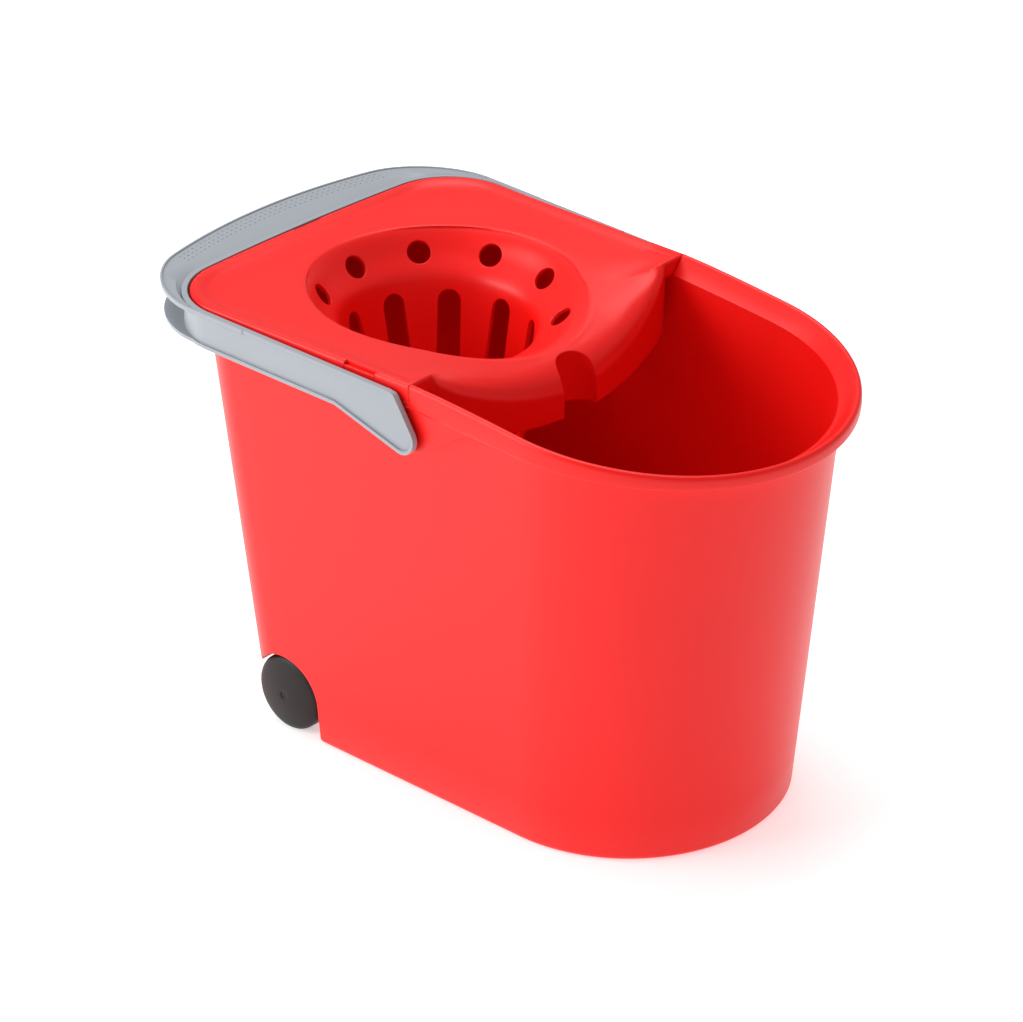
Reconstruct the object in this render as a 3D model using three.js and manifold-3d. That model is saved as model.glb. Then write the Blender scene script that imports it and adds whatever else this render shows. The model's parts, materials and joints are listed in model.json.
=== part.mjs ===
// Wheeled mop bucket with a lift-out wringer and a swinging bail handle.
// Millimetres, +Z up. X runs along the bucket: the wringer, the wheels and the folded
// handle are at -X and the round nose is at +X. The bucket stands on z = 0.
import * as THREE from 'three';
import { mergeVertices } from 'three/addons/utils/BufferGeometryUtils.js';
import Module from 'manifold-3d';

const wasm = await Module();
wasm.setup();

// ---- Driving dimensions ------------------------------------------------------------
const HEIGHT = 273;
const WALL = 2.6;
const LIP_OVERHANG = 8.5;
const LIP = { sideHeight: 14, noseHeight: 8, taperFromX: 60, taperToX: 190 };
const NOSE_FLARE = 2;
const NOSE_DIP = 19.5;
const SPLIT_X = 20.7;
const DECK_EDGE = 10;
const TOUCH_GAP = 0.3;
const SEAT_Z = HEIGHT - DECK_EDGE + TOUCH_GAP;
const LEDGE_WIDTH = 12.5;
const SKIRT = 4;

// Plan outlines, seen from above: rear corners are arcs and the nose is half an ellipse.
const RIM = { rearX: -168.5, rearBow: 5, corner: 38, halfRear: 119.6,
  noseX: 94.3, halfNose: 115.3, frontX: 209.2 };
const BASE = { rearX: -131, rearBow: 3, corner: 28, halfRear: 99,
  noseX: 81, halfNose: 96.5, frontX: 176 };
const GRIP = { rearX: -186.8, rearBow: 23, corner: 44, halfRear: 125.3,
  noseX: 94.3, halfNose: 120.9, frontX: 221.3 };

const NOSE_STEPS = 14;
const SIDE_STEPS = 6;
const CORNER_STEPS = 6;
const REAR_STEPS = 3;

// Wheels, axle and the step in the floor that they run under.
const WHEEL_X = -99.5;
const WHEEL_RADIUS = 24;
const WHEEL_HUB_Y = 83;
const WELL_RADIUS = 26.2;
const WELL_TOP = 37.7;
const WELL_FRONT_X = -72;
const AXLE_RADIUS = 3;
const AXLE_HALF_LENGTH = 94.5;
const SADDLE_Y = 79;
const SADDLE_THICKNESS = 5;
const ROUND_SEGMENTS = 32;
const SMALL_SEGMENTS = 16;

// Handle: a flat strip with a raised border, bent round the rear of the rim. It is drawn
// level and then leans about its pins, so that the grip lies a little higher.
const PIVOT = { x: 19.1, z: 242.1 };
const HANDLE_LEAN = 1.2;
const PIN_RADIUS = 4;
const BORE_RADIUS = 4.5;
const SOCKET_END_Y = 105.8;
const PIN_END_Y = 106.2;
const PIN_ROOT_Y = 120;
const ARM_TOP = 268.1;
const ARM_BOTTOM = 246;
const ARM_TIP_RADIUS = 9.2;
const ARM_KINK_X = -30;
const ARM_GAP = 1.8;
const HANDLE_WEB = 2.2;
const HANDLE_FLANGE = 2.2;
const ARM_DEPTH = 3.4;
const PLATE_FRONT_X = -100;

// Wringer: deck, oval basket, apron and the stick notch in its front.
const APRON_HALF = 98;
const APRON_FRONT_X = 43;
const APRON_SIDE_Z = 231;
const APRON_DROP = 9;
const DECK_SAG = { depth: 16, rearX: -110, frontX: 26, halfWidth: APRON_HALF };
const DECK_SKIN = 2.6;
const NOTCH = { x: 41.5, radius: 13.5, wall: 2.5 };
const HOLE_COUNT = 10;
const HOLE_RADIUS = 7.1;
const HOLE_TILT = Math.PI / 4;
const SLOT_RADIUS = 6.8;
const SLOT_TOP = 237.4;
const SLOT_BOTTOM = 168;
const DRAIN_RADIUS = 4;
const TAB_X = -15.6;
const TAB = { length: 22, depth: 2.2, height: 7.6, clearance: 0.4 };

// Inside of the basket from the deck down: height, centre, half length, half width, and
// how much of the deck's forward sag the ring follows.
const BASKET = [
  { z: 269.5, x: -60, rx: 84.5, ry: 82.5, sag: 1 },
  { z: 268.2, x: -60.5, rx: 81, ry: 79, sag: 1 },
  { z: 264.2, x: -62, rx: 76, ry: 74.5, sag: 0.97 },
  { z: 256.6, x: -64, rx: 68.8, ry: 68.3, sag: 0.92 },
  { z: 249.3, x: -65.3, rx: 61.2, ry: 60.8, sag: 0.8 },
  { z: 246, x: -66, rx: 58.5, ry: 58, sag: 0.7 },
  { z: 242.4, x: -66.5, rx: 56.9, ry: 56.4, sag: 0.6 },
  { z: 237.4, x: -66.7, rx: 55.8, ry: 55.3, sag: 0.5 },
  { z: 158, x: -60.5, rx: 41, ry: 40.5, sag: 0 },
  { z: 154, x: -60, rx: 37, ry: 36.5, sag: 0 },
];
const HOLE_RING = BASKET[3];
const SLOT_RING = BASKET[7];

// ---- Solids and booleans -------------------------------------------------------------
function toSolid(geometry) {
  const bare = geometry.index ? geometry.toNonIndexed() : geometry.clone();
  for (const name of Object.keys(bare.attributes)) {
    if (name !== 'position') {
      bare.deleteAttribute(name);
    }
  }
  const merged = mergeVertices(bare, 1e-4);
  return new wasm.Manifold(new wasm.Mesh({
    numProp: 3,
    vertProperties: new Float32Array(merged.attributes.position.array),
    triVerts: new Uint32Array(merged.index.array),
  }));
}

function toGeometry(solid) {
  const { vertProperties, triVerts } = solid.getMesh();
  const geometry = new THREE.BufferGeometry();
  geometry.setAttribute('position', new THREE.BufferAttribute(vertProperties, 3));
  geometry.setIndex(new THREE.BufferAttribute(triVerts, 1));
  geometry.computeVertexNormals();
  return geometry;
}

function unite(solids) {
  return solids.reduce((sum, solid) => sum.add(solid));
}

// A closed body through rings of equal point count, closed by a fan at each end.
// Rings run anticlockwise seen from above and are listed from the underside upward.
function loft(rings) {
  const positions = [];
  const indices = [];
  const count = rings[0].length;
  for (const ring of rings) {
    for (const point of ring) {
      positions.push(point.x, point.y, point.z);
    }
  }
  for (let level = 0; level + 1 < rings.length; level += 1) {
    for (let i = 0; i < count; i += 1) {
      const next = (i + 1) % count;
      const low = level * count;
      const high = low + count;
      indices.push(low + i, low + next, high + next, low + i, high + next, high + i);
    }
  }
  addCap(positions, indices, rings[0], 0, true);
  addCap(positions, indices, rings[rings.length - 1], (rings.length - 1) * count, false);
  const geometry = new THREE.BufferGeometry();
  geometry.setAttribute('position', new THREE.Float32BufferAttribute(positions, 3));
  geometry.setIndex(indices);
  return toSolid(geometry);
}

// Closes the end of a loft with a fan about the middle of its ring.
function addCap(positions, indices, ring, offset, reversed) {
  const centre = new THREE.Vector3();
  ring.forEach((point) => centre.add(point));
  centre.divideScalar(ring.length);
  const centreIndex = positions.length / 3;
  positions.push(centre.x, centre.y, centre.z);
  for (let i = 0; i < ring.length; i += 1) {
    const next = (i + 1) % ring.length;
    if (reversed) {
      indices.push(centreIndex, offset + next, offset + i);
    } else {
      indices.push(centreIndex, offset + i, offset + next);
    }
  }
}

// A closed shape in plan, extruded between two heights.
function prism(points, bottom, top) {
  const shape = new THREE.Shape(points.map((point) => new THREE.Vector2(point.x, point.y)));
  const geometry = new THREE.ExtrudeGeometry(shape, { depth: top - bottom, bevelEnabled: false });
  geometry.translate(0, 0, bottom);
  return toSolid(geometry);
}

// A closed shape in side view (x, z), extruded across the bucket between two y values.
function sideProfile(points, fromY, toY) {
  const shape = new THREE.Shape(points.map(([x, z]) => new THREE.Vector2(x, z)));
  const geometry = new THREE.ExtrudeGeometry(shape, { depth: toY - fromY, bevelEnabled: false });
  geometry.rotateX(Math.PI / 2);
  geometry.translate(0, toY, 0);
  return toSolid(geometry);
}

function box(minX, maxX, minY, maxY, minZ, maxZ) {
  const geometry = new THREE.BoxGeometry(maxX - minX, maxY - minY, maxZ - minZ);
  geometry.translate((minX + maxX) / 2, (minY + maxY) / 2, (minZ + maxZ) / 2);
  return toSolid(geometry);
}

function crossRod(radius, x, z, fromY, toY) {
  const geometry = new THREE.CylinderGeometry(radius, radius, toY - fromY, ROUND_SEGMENTS);
  geometry.translate(x, (fromY + toY) / 2, z);
  return toSolid(geometry);
}

function uprightRod(radius, x, y, bottom, top) {
  const geometry = new THREE.CylinderGeometry(radius, radius, top - bottom, SMALL_SEGMENTS);
  geometry.rotateX(Math.PI / 2);
  geometry.translate(x, y, (bottom + top) / 2);
  return toSolid(geometry);
}

// ---- Plan outlines -------------------------------------------------------------------
function halfOutline(plan, inset) {
  const points = [];
  for (let i = 0; i <= NOSE_STEPS; i += 1) {
    const angle = (Math.PI / 2) * (i / NOSE_STEPS);
    points.push(new THREE.Vector2(
      plan.noseX + (plan.frontX - plan.noseX - inset) * Math.cos(angle),
      (plan.halfNose - inset) * Math.sin(angle),
    ));
  }
  const cornerX = plan.rearX + plan.corner;
  for (let i = 1; i < SIDE_STEPS; i += 1) {
    const along = i / SIDE_STEPS;
    points.push(new THREE.Vector2(
      THREE.MathUtils.lerp(plan.noseX, cornerX, along),
      THREE.MathUtils.lerp(plan.halfNose, plan.halfRear, along) - inset,
    ));
  }
  const cornerY = plan.halfRear - plan.corner;
  const radius = plan.corner - inset;
  for (let i = 0; i <= CORNER_STEPS; i += 1) {
    const angle = (Math.PI / 2) * (1 + i / CORNER_STEPS);
    points.push(new THREE.Vector2(cornerX + radius * Math.cos(angle), cornerY + radius * Math.sin(angle)));
  }
  for (let i = 1; i <= REAR_STEPS; i += 1) {
    points.push(new THREE.Vector2(plan.rearX + inset, cornerY * (1 - i / REAR_STEPS)));
  }
  for (const point of points) {
    const past = Math.min(1, Math.abs(point.y) / plan.halfRear);
    const bow = point.x < cornerX ? plan.rearBow * (1 - past ** 2) : 0;
    point.x -= bow;
  }
  return points;
}

// The whole outline, anticlockwise from the tip of the nose.
function outline(plan, inset) {
  const half = halfOutline(plan, inset);
  const mirrored = half.slice(1, -1).reverse().map((point) => new THREE.Vector2(point.x, -point.y));
  return half.concat(mirrored);
}

function blendPlans(low, high, share) {
  const plan = {};
  for (const key of Object.keys(low)) {
    plan[key] = THREE.MathUtils.lerp(low[key], high[key], share);
  }
  return plan;
}

// The wall's outer outline at a height: the base outline grows into the rim outline.
function wallPlan(z) {
  const wallTop = { ...RIM };
  wallTop.rearX += LIP_OVERHANG;
  wallTop.corner -= LIP_OVERHANG;
  wallTop.halfRear -= LIP_OVERHANG;
  wallTop.halfNose -= LIP_OVERHANG;
  wallTop.frontX -= LIP_OVERHANG + NOSE_FLARE;
  return blendPlans(BASE, wallTop, z / HEIGHT);
}

// The rim sinks gently from the wringer's front edge to the tip of the nose.
function sunk(x, z) {
  const along = THREE.MathUtils.clamp((x - SPLIT_X) / (RIM.frontX - SPLIT_X), 0, 1);
  const dip = NOSE_DIP * along ** 1.3;
  return z * (1 - dip / HEIGHT);
}

function ring(plan, inset, z) {
  return outline(plan, inset).map((point) => new THREE.Vector3(point.x, point.y, sunk(point.x, z)));
}

// A ring along the lip's lower edge. The lip grows shallower toward the nose.
function lipRing(plan) {
  return outline(plan, 0).map((point) => {
    const span = LIP.taperToX - LIP.taperFromX;
    const along = THREE.MathUtils.clamp((point.x - LIP.taperFromX) / span, 0, 1);
    const height = THREE.MathUtils.lerp(LIP.sideHeight, LIP.noseHeight, along);
    return new THREE.Vector3(point.x, point.y, sunk(point.x, HEIGHT - height));
  });
}

// ---- Bucket --------------------------------------------------------------------------
function bucketOutside() {
  return loft([
    ring(BASE, 5, 0),
    ring(BASE, 1.5, 1.2),
    ring(wallPlan(4), 0, 4),
    lipRing(wallPlan(HEIGHT - LIP.sideHeight)),
    lipRing(RIM),
    ring(RIM, 0, HEIGHT - 3),
    ring(RIM, 0.7, HEIGHT - 0.9),
    ring(RIM, 2, HEIGHT),
  ]);
}

function bucketInside() {
  return loft([
    ring(BASE, 8, WALL + 0.6),
    ring(BASE, 4, WALL + 2.2),
    ring(wallPlan(8), WALL, 8),
    ring(wallPlan(HEIGHT - 9), WALL, HEIGHT - 9),
    ring(RIM, 6, HEIGHT - 3.5),
    ring(RIM, 3.6, HEIGHT - 0.8),
    ring(RIM, 2.8, HEIGHT + 1),
    ring(RIM, 2.8, HEIGHT + 20),
  ]);
}

// Side view of the space under the stepped floor, open to the rear and below.
function wellOutline(growth) {
  const radius = WELL_RADIUS + growth;
  const endAngle = Math.PI - Math.asin((WELL_TOP + growth - WHEEL_RADIUS) / radius);
  const points = [[-260, -20], [WELL_FRONT_X + growth, -20], [WELL_FRONT_X + growth, 0]];
  for (let i = 0; i <= CORNER_STEPS * 3; i += 1) {
    const angle = endAngle * (i / (CORNER_STEPS * 3));
    points.push([WHEEL_X + radius * Math.cos(angle), WHEEL_RADIUS + radius * Math.sin(angle)]);
  }
  points.push([-260, WELL_TOP + growth]);
  return points;
}

// The pads that thicken the wall round each handle pin, and the deeper lip behind them.
function pivotPads() {
  const side = [
    [-260, 263], [-260, 254], [-10, 254], [8, 236], [12, 234], [26, 234.5], [62, 256.5], [66, 258], [66, 262],
  ];
  return sideProfile(side, -140, 140).intersect(prism(outline(RIM, 0.7), 200, HEIGHT));
}

function axleSaddle(side) {
  const y = side * SADDLE_Y;
  const halfThickness = SADDLE_THICKNESS / 2;
  const plate = box(WHEEL_X - 9, WHEEL_X + 9, y - halfThickness, y + halfThickness, 14, 52);
  const bore = crossRod(AXLE_RADIUS + TOUCH_GAP, WHEEL_X, WHEEL_RADIUS, y - 5, y + 5);
  const mouth = box(WHEEL_X - 2.6, WHEEL_X + 2.6, y - 5, y + 5, 0, WHEEL_RADIUS);
  return plate.subtract(bore).subtract(mouth);
}

// Three tongues on the lowered rear rim, which stand in notches in the wringer's edge.
function rimTab(clearance, height) {
  const half = TAB.length / 2 + clearance;
  const reach = TAB.depth + clearance;
  const bottom = HEIGHT - DECK_EDGE - 1;
  const outer = prism(outline(RIM, 0), bottom, bottom + 1 + height);
  const sides = box(TAB_X - half, TAB_X + half, -140, 140, bottom, bottom + 1 + height);
  const rear = box(RIM.rearX - 10, RIM.rearX + 10, -half, half, bottom, bottom + 1 + height);
  const core = prism(outline(RIM, reach), bottom - 1, bottom + 3 + height);
  return outer.intersect(sides.add(rear)).subtract(core);
}

function bucketBody() {
  const step = sideProfile(wellOutline(WALL), -140, 140);
  const hollow = bucketInside().subtract(step);
  const rearLedge = box(RIM.rearX - 20, SPLIT_X, -140, 140, HEIGHT - DECK_EDGE, HEIGHT + 10);
  return bucketOutside()
    .add(pivotPads())
    .subtract(hollow)
    .subtract(sideProfile(wellOutline(0), -140, 140))
    .add(axleSaddle(1))
    .add(axleSaddle(-1))
    .subtract(rearLedge)
    .add(rimTab(0, TAB.height))
    .subtract(crossPins(BORE_RADIUS, SOCKET_END_Y, 140));
}

// ---- Wringer -------------------------------------------------------------------------
// The apron's rolled top edge is full in the middle and fades out where it meets the rim.
function apronRoll(y) {
  return Math.sqrt(Math.max(0, Math.cos((Math.PI / 2) * (y / APRON_HALF))));
}

// Outline of the deck: flush with the rim at the rear and sides, bulging at the front.
function deckOutline() {
  const rimPoints = outline(RIM, 0).filter((point) => point.x < SPLIT_X - 4);
  const upper = rimPoints.filter((point) => point.y >= 0);
  const rimHalf = THREE.MathUtils.mapLinear(SPLIT_X, RIM.noseX, RIM.rearX + RIM.corner, RIM.halfNose, RIM.halfRear);
  const front = [];
  const steps = 16;
  for (let i = 0; i <= steps; i += 1) {
    const y = THREE.MathUtils.lerp(-APRON_HALF, APRON_HALF, i / steps);
    const middle = Math.max(0, Math.cos((Math.PI / 2) * (y / APRON_HALF)));
    const bulge = (APRON_FRONT_X - SPLIT_X) * middle ** 0.8;
    front.push({ x: SPLIT_X - TOUCH_GAP + bulge, y, apron: true });
  }
  const edgeX = SPLIT_X - TOUCH_GAP;
  const cornerPoints = [{ x: edgeX, y: APRON_HALF + 1 }, { x: edgeX, y: rimHalf }];
  const rear = upper.concat(upper.slice(0, -1).reverse().map((point) => ({ x: point.x, y: -point.y })));
  const mirrored = cornerPoints.map((point) => ({ x: point.x, y: -point.y })).reverse();
  return front.concat(cornerPoints, rear.map((point) => ({ x: point.x, y: point.y })), mirrored);
}

// How far the deck and the top of the basket sink toward the middle of their front.
function deckSag(x, y) {
  const along = THREE.MathUtils.clamp((x - DECK_SAG.rearX) / (DECK_SAG.frontX - DECK_SAG.rearX), 0, 1);
  const across = Math.cos((Math.PI / 2) * Math.min(1, Math.abs(y) / DECK_SAG.halfWidth)) ** 0.8;
  return DECK_SAG.depth * along ** 2 * across;
}

function basketPoint(level, direction, growth) {
  const x = level.x + (level.rx + growth) * Math.cos(direction);
  const y = (level.ry + growth) * Math.sin(direction);
  return new THREE.Vector3(x, y, level.z - level.sag * deckSag(x, y));
}

// Direction from the basket's centre in which each outline point lies.
function outlineDirections(edge) {
  const mouth = BASKET[0];
  return edge.map((point) => Math.atan2(point.y / mouth.ry, (point.x - mouth.x) / mouth.rx));
}

// One ring of the deck, some way from its edge toward the basket's mouth.
function deckRing(edge, directions, { inset, share, sideZ, apronZ, sagShare }) {
  return edge.map((point, i) => {
    const target = basketPoint(BASKET[0], directions[i], 0);
    const start = new THREE.Vector3(point.x, point.y, 0);
    const gap = target.clone().setZ(0).sub(start);
    const travel = Math.min(inset, gap.length() * share);
    const place = start.add(gap.setLength(travel));
    const height = point.apron ? apronZ(point.y) : sideZ;
    return place.setZ(height - sagShare * deckSag(place.x, place.y));
  });
}

function wringerShell() {
  const edge = deckOutline();
  const directions = outlineDirections(edge);
  const ringAt = (inset, share, sideZ, frontZ, sagShare) => deckRing(edge, directions, {
    inset, share, sideZ, sagShare,
    apronZ: (y) => THREE.MathUtils.lerp(sideZ, frontZ, apronRoll(y)),
  });
  const apronFoot = (inset, share) => deckRing(edge, directions, {
    inset, share, sideZ: SEAT_Z, sagShare: 0,
    apronZ: (y) => APRON_SIDE_Z - APRON_DROP * Math.cos((Math.PI / 2) * (y / APRON_HALF)),
  });
  const basketRing = (section, growth, drop) => directions.map((direction) => (
    basketPoint({ ...section, z: section.z - drop }, direction, growth)));
  const lowest = BASKET[BASKET.length - 1];
  const outside = BASKET.slice(1, -1).reverse().map((section) => basketRing(section, DECK_SKIN, 0.8));
  return loft([
    basketRing(lowest, DECK_SKIN, DECK_SKIN),
    ...outside,
    basketRing(BASKET[0], DECK_SKIN, DECK_SKIN),
    ringAt(14, 0.72, HEIGHT - 5.8, HEIGHT - 8, 1),
    ringAt(11, 0.55, HEIGHT - 5.4, HEIGHT - 10, 1),
    ringAt(6, 0.34, HEIGHT - 4.6, HEIGHT - 15, 1),
    ringAt(SKIRT, 0.24, HEIGHT - 5, HEIGHT - 24, 1),
    apronFoot(SKIRT, 0.24),
    apronFoot(0, 0),
    ringAt(0, 0, HEIGHT - 2.2, HEIGHT - 21.4, 1),
    ringAt(1.2, 0.12, HEIGHT - 0.5, HEIGHT - 17, 1),
    ringAt(3.5, 0.3, HEIGHT, HEIGHT - 11.4, 1),
    ringAt(7, 0.48, HEIGHT - 0.8, HEIGHT - 7.4, 1),
    ringAt(12, 0.66, HEIGHT - 2.2, HEIGHT - 4.6, 1),
    ringAt(24, 0.84, HEIGHT - 3.2, HEIGHT - 3.6, 1),
    ...BASKET.map((section) => basketRing(section, 0, 0)),
  ]);
}

// A hole or slot cutter laid along +X and turned about the basket's own axis.
function radialCutter(geometry, section, direction, z) {
  const turn = Math.atan2(section.ry * Math.sin(direction), section.rx * Math.cos(direction));
  geometry.rotateZ(turn);
  geometry.translate(section.x, 0, z);
  return toSolid(geometry);
}

function roundHole(direction) {
  const geometry = new THREE.CylinderGeometry(HOLE_RADIUS, HOLE_RADIUS, 24, SMALL_SEGMENTS);
  geometry.rotateZ(Math.PI / 2);
  geometry.rotateY(HOLE_TILT);
  geometry.translate(HOLE_RING.rx, 0, 0);
  return radialCutter(geometry, HOLE_RING, direction, basketPoint(HOLE_RING, direction, 0).z);
}

function slotCut(direction) {
  const straight = SLOT_TOP - SLOT_BOTTOM - 2 * SLOT_RADIUS;
  const shape = new THREE.Shape();
  shape.moveTo(SLOT_RADIUS, 0);
  shape.absarc(0, straight, SLOT_RADIUS, 0, Math.PI, false);
  shape.absarc(0, 0, SLOT_RADIUS, Math.PI, 2 * Math.PI, false);
  const geometry = new THREE.ExtrudeGeometry(shape, { depth: 60, bevelEnabled: false, curveSegments: 6 });
  geometry.rotateX(Math.PI / 2);
  geometry.rotateZ(Math.PI / 2);
  geometry.translate(24, 0, 0);
  return radialCutter(geometry, SLOT_RING, direction, SLOT_BOTTOM + SLOT_RADIUS);
}

function basketOpenings() {
  const cuts = [];
  const pitch = (2 * Math.PI) / HOLE_COUNT;
  for (let i = 0; i < HOLE_COUNT; i += 1) {
    if (i > 0) {
      cuts.push(roundHole(i * pitch));
    }
    cuts.push(slotCut((i + 0.5) * pitch));
  }
  const floor = BASKET[BASKET.length - 1];
  for (let i = 0; i < 6; i += 1) {
    const angle = (i * Math.PI) / 3;
    cuts.push(uprightRod(DRAIN_RADIUS, floor.x + 24 * Math.cos(angle), 18 * Math.sin(angle), 140, 170));
  }
  cuts.push(uprightRod(DRAIN_RADIUS, floor.x, 0, 140, 170));
  return unite(cuts);
}

function notchWall() {
  const foot = APRON_SIDE_Z - APRON_DROP;
  const front = APRON_FRONT_X - 1;
  const deckTop = HEIGHT - DECK_SAG.depth;
  const underRoll = [
    [20, foot], [front, foot], [front, deckTop - 24], [front - 2, deckTop - 17],
    [front - 5, deckTop - 12], [front - 10, deckTop - 8], [front - 15, deckTop - 5], [20, deckTop - 5],
  ];
  const wall = uprightRod(NOTCH.radius + NOTCH.wall, NOTCH.x, 0, foot, HEIGHT);
  return wall.intersect(sideProfile(underRoll, -40, 40));
}

// Space kept free above the ledge that the deck rests on.
function ledgeClearance() {
  const bottom = SEAT_Z - LIP.sideHeight;
  const band = prism(outline(RIM, -1), bottom, SEAT_Z)
    .subtract(prism(outline(RIM, LEDGE_WIDTH), bottom - 1, SEAT_Z + 1));
  return band.intersect(box(-260, SPLIT_X, -140, 140, 0, HEIGHT));
}

function wringer() {
  return wringerShell()
    .add(notchWall())
    .subtract(ledgeClearance())
    .subtract(uprightRod(NOTCH.radius, NOTCH.x, 0, 200, HEIGHT + 10))
    .subtract(basketOpenings())
    .subtract(rimTab(TAB.clearance, 20));
}

// ---- Handle --------------------------------------------------------------------------
// Side view of the handle: level, then bent down to a round end at the pivot.
function handleSide(inset) {
  const top = ARM_TOP - inset;
  const bottom = ARM_BOTTOM + inset;
  const points = [[-260, bottom], [ARM_KINK_X - inset * 0.2, bottom]];
  for (let i = 0; i <= 10; i += 1) {
    const angle = THREE.MathUtils.degToRad(-105 + 138 * (i / 10));
    const radius = ARM_TIP_RADIUS - inset;
    points.push([PIVOT.x + radius * Math.cos(angle), PIVOT.z + radius * Math.sin(angle)]);
  }
  points.push([14.3 - inset, ARM_TOP - 1.6 - inset * 0.8], [8.3 - inset * 0.6, top], [-260, top]);
  return points;
}

// The band in plan between two outlines, open toward the nose.
function bentBand(outer, inner, bottom, top) {
  const band = prism(outer, bottom, top).subtract(prism(inner, bottom - 1, top + 1));
  return band.subtract(box(60, 260, -160, 160, bottom - 1, top + 1));
}

// The pins inside the arm ends: one rod across the bucket with its middle taken out.
function crossPins(radius, endY, rootY) {
  const whole = crossRod(radius, PIVOT.x, PIVOT.z, -rootY, rootY);
  return whole.subtract(crossRod(radius + 1, PIVOT.x, PIVOT.z, -endY, endY));
}

function levelHandle() {
  const bottom = PIVOT.z - ARM_TIP_RADIUS - 1;
  const inner = outline(RIM, -ARM_GAP);
  const side = sideProfile(handleSide(0), -160, 160);
  const border = side.subtract(sideProfile(handleSide(HANDLE_FLANGE), -161, 161));
  const web = bentBand(outline(RIM, -ARM_GAP - HANDLE_WEB), inner, bottom, ARM_TOP).intersect(side);
  const edging = bentBand(outline(RIM, -ARM_GAP - ARM_DEPTH), inner, bottom, ARM_TOP).intersect(border);
  const gripEdge = outline(GRIP, 0);
  const rearOnly = box(-260, PLATE_FRONT_X, -160, 160, bottom, ARM_TOP + 1);
  const topPlate = bentBand(gripEdge, inner, ARM_TOP - HANDLE_FLANGE, ARM_TOP).intersect(rearOnly);
  const lowPlate = bentBand(outline(GRIP, 2), inner, ARM_BOTTOM, ARM_BOTTOM + HANDLE_FLANGE).intersect(rearOnly);
  return unite([web, edging, topPlate, lowPlate, crossPins(PIN_RADIUS, PIN_END_Y, PIN_ROOT_Y)]);
}

function handle() {
  return levelHandle()
    .translate([-PIVOT.x, 0, -PIVOT.z])
    .rotate([0, HANDLE_LEAN, 0])
    .translate([PIVOT.x, 0, PIVOT.z]);
}

// ---- Wheels and axle -------------------------------------------------------------------
function turned(profile) {
  const points = profile.map(([radius, along]) => new THREE.Vector2(radius, along));
  return new THREE.LatheGeometry(points, ROUND_SEGMENTS);
}

// Radius and distance outward from the hub's inner face, from the blind end of the bore.
function wheelGeometry() {
  return turned([
    [0, 12], [3.3, 12], [3.3, 9.4], [2.9, 9.2], [2.9, 8.8], [3.3, 8.6], [3.3, 0], [6.5, 0],
    [6.5, 10.5], [21.4, 10.5], [21.4, 1], [23.2, 1], [WHEEL_RADIUS, 1.8], [WHEEL_RADIUS, 12.6],
    [23.3, 14.4], [21, 15.9], [16, 17.4], [8, 18.6], [0, 19],
  ]);
}

function axleGeometry() {
  const end = AXLE_HALF_LENGTH;
  const groove = [WHEEL_HUB_Y + 8.1, WHEEL_HUB_Y + 9.9];
  return turned([
    [0, -end], [2.2, -end], [AXLE_RADIUS, -end + 0.8],
    [AXLE_RADIUS, -groove[1]], [2.5, -groove[1] + 0.2], [2.5, -groove[0] - 0.2], [AXLE_RADIUS, -groove[0]],
    [AXLE_RADIUS, groove[0]], [2.5, groove[0] + 0.2], [2.5, groove[1] - 0.2], [AXLE_RADIUS, groove[1]],
    [AXLE_RADIUS, end - 0.8], [2.2, end], [0, end],
  ]);
}

// ---- Assembly --------------------------------------------------------------------------
const red = { color: 0xe8231f, roughness: 0.38, metalness: 0 };
const grey = { color: 0xc3c8cf, roughness: 0.42, metalness: 0 };
const black = { color: 0x2a2526, roughness: 0.4, metalness: 0 };
const steel = { color: 0xa9adb2, roughness: 0.3, metalness: 1 };

function part(name, geometry, finish) {
  const mesh = new THREE.Mesh(geometry, new THREE.MeshStandardMaterial(finish));
  mesh.name = name;
  return mesh;
}

function wheel(name, side) {
  const mesh = part(name, wheelGeometry(), black);
  if (side < 0) {
    mesh.rotation.x = Math.PI;
  }
  mesh.position.set(WHEEL_X, side * WHEEL_HUB_Y, WHEEL_RADIUS);
  return mesh;
}

const assembly = new THREE.Group();
assembly.add(part('bucket_body', toGeometry(bucketBody()), red));
assembly.add(part('wringer', toGeometry(wringer()), red));
assembly.add(part('handle', toGeometry(handle()), grey));
const axle = part('axle', axleGeometry(), steel);
axle.position.set(WHEEL_X, 0, WHEEL_RADIUS);
assembly.add(axle);
assembly.add(wheel('left_wheel', 1));
assembly.add(wheel('right_wheel', -1));

export default assembly;
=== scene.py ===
"""Wheeled mop bucket with a lift-out wringer and a folding bail handle.

Lengths are millimetres in the row frame and are turned into metres when a mesh is made.
X runs along the bucket, the round nose at +X and the wheels at -X.
"""
import json
import math

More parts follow.
